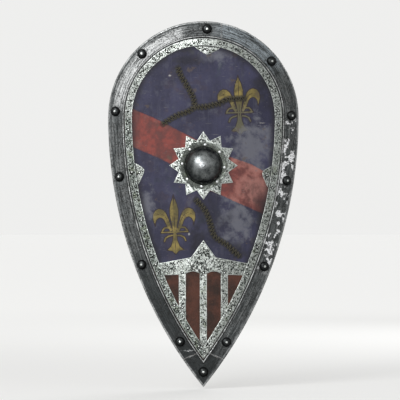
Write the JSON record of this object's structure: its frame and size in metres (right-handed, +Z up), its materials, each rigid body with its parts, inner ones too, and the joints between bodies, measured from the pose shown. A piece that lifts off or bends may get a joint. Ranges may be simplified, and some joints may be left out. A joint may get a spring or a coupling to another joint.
{
  "type": "kite shield",
  "caption": "Curved almond-shaped wooden shield with painted leather face, riveted steel rim, star-shaped boss, forearm pad, buckled arm strap, hand grip and shoulder strap.",
  "frame": {"origin": "where the boss axis leaves the flat middle of the board's back, behind the forearm pad", "axes": "+Z up to the round top; +Y backwards to the wearer, so the painted face looks along -Y; +X to the right as the face is seen from the front"},
  "size_m": [0.5768, 0.1782, 1.1],
  "materials": {
    "board_wood": "bare planks",
    "painted_leather": "worn blue-grey paint",
    "panel_leather": "worn red-brown",
    "rim_steel": "dark pitted",
    "etched_steel": "pitted",
    "boss_steel": "polished dark",
    "rivet_steel": "dark satin",
    "lace": "dark waxed lace",
    "pad_leather": "stitched, matt",
    "strap_leather": "waxed",
    "buckle_iron": "forged"
  },
  "bodies": {
    "shield": {"board": "board_wood", "face_cover": "painted_leather", "lower_panel": "panel_leather", "rim_right": "rim_steel", "rim_left": "rim_steel", "rim_tip_cap": "rim_steel", "trim_top": "etched_steel", "trim_right": "etched_steel", "trim_left": "etched_steel", "lobe_top": "etched_steel", "lobe_right": "etched_steel", "lobe_left": "etched_steel", "crossbar": "etched_steel", "field_bar_middle": "etched_steel", "field_bar_right": "etched_steel", "field_bar_left": "etched_steel", "boss_star": "etched_steel", "boss_collar": "etched_steel", "boss_dome": "boss_steel", "rim_rivet_1": "rivet_steel", "rim_rivet_2": "rivet_steel", "rim_rivet_3": "rivet_steel", "rim_rivet_4": "rivet_steel", "rim_rivet_5": "rivet_steel", "rim_rivet_6": "rivet_steel", "rim_rivet_7": "rivet_steel", "rim_rivet_8": "rivet_steel", "rim_rivet_9": "rivet_steel", "rim_rivet_10": "rivet_steel", "rim_rivet_11": "rivet_steel", "rim_rivet_12": "rivet_steel", "boss_rivet_1": "rivet_steel", "boss_rivet_2": "rivet_steel", "boss_rivet_3": "rivet_steel", "boss_rivet_4": "rivet_steel", "boss_rivet_5": "rivet_steel", "boss_rivet_6": "rivet_steel", "boss_rivet_7": "rivet_steel", "boss_rivet_8": "rivet_steel", "elbow_strap_rivet_low": "rivet_steel", "elbow_strap_rivet_top": "rivet_steel", "grip_rivet_low": "rivet_steel", "grip_rivet_top": "rivet_steel", "guige_rivet_left": "rivet_steel", "guige_rivet_right": "rivet_steel", "lacing_upper": "lace", "lacing_lower": "lace", "forearm_pad": "pad_leather", "grip_sleeve": "pad_leather", "elbow_strap_long": "strap_leather", "elbow_strap_short": "strap_leather", "guige_long": "strap_leather", "guige_short": "strap_leather", "grip_strap": "strap_leather"},
    "elbow_frame": {"elbow_buckle_frame": "buckle_iron"},
    "elbow_prong": {"elbow_buckle_prong": "buckle_iron"},
    "elbow_loop": {"elbow_keeper": "strap_leather"},
    "guige_frame": {"guige_buckle_frame": "buckle_iron"},
    "guige_prong": {"guige_buckle_prong": "buckle_iron"},
    "guige_loop": {"guige_keeper": "strap_leather"}
  },
  "joints": [
    {"name": "elbow_frame_hinge", "type": "hinge", "parent": "shield", "child": "elbow_frame", "pos_m": [0.11614, 0.10173, 0.006], "axis": [0.9861, 0.1662, 0], "range_deg": [0, 10]},
    {"name": "elbow_prong_hinge", "type": "hinge", "parent": "elbow_frame", "child": "elbow_prong", "pos_m": [0.11614, 0.10173, 0.006], "axis": [0.9861, 0.1662, 0], "range_deg": [0, 30]},
    {"name": "elbow_keeper_slide", "type": "slide", "parent": "shield", "child": "elbow_loop", "axis": [0, 0, 1], "range_m": [-0.006, 0.006]},
    {"name": "guige_frame_hinge", "type": "hinge", "parent": "shield", "child": "guige_frame", "pos_m": [0.0063, 0.056, 0.205], "axis": [0, 0, -1], "range_deg": [0, 10]},
    {"name": "guige_prong_hinge", "type": "hinge", "parent": "guige_frame", "child": "guige_prong", "pos_m": [0.0063, 0.056, 0.205], "axis": [0, 0, -1], "range_deg": [0, 30]},
    {"name": "guige_keeper_slide", "type": "slide", "parent": "shield", "child": "guige_loop", "axis": [1, 0, 0], "range_m": [-0.006, 0.006]}
  ]
}
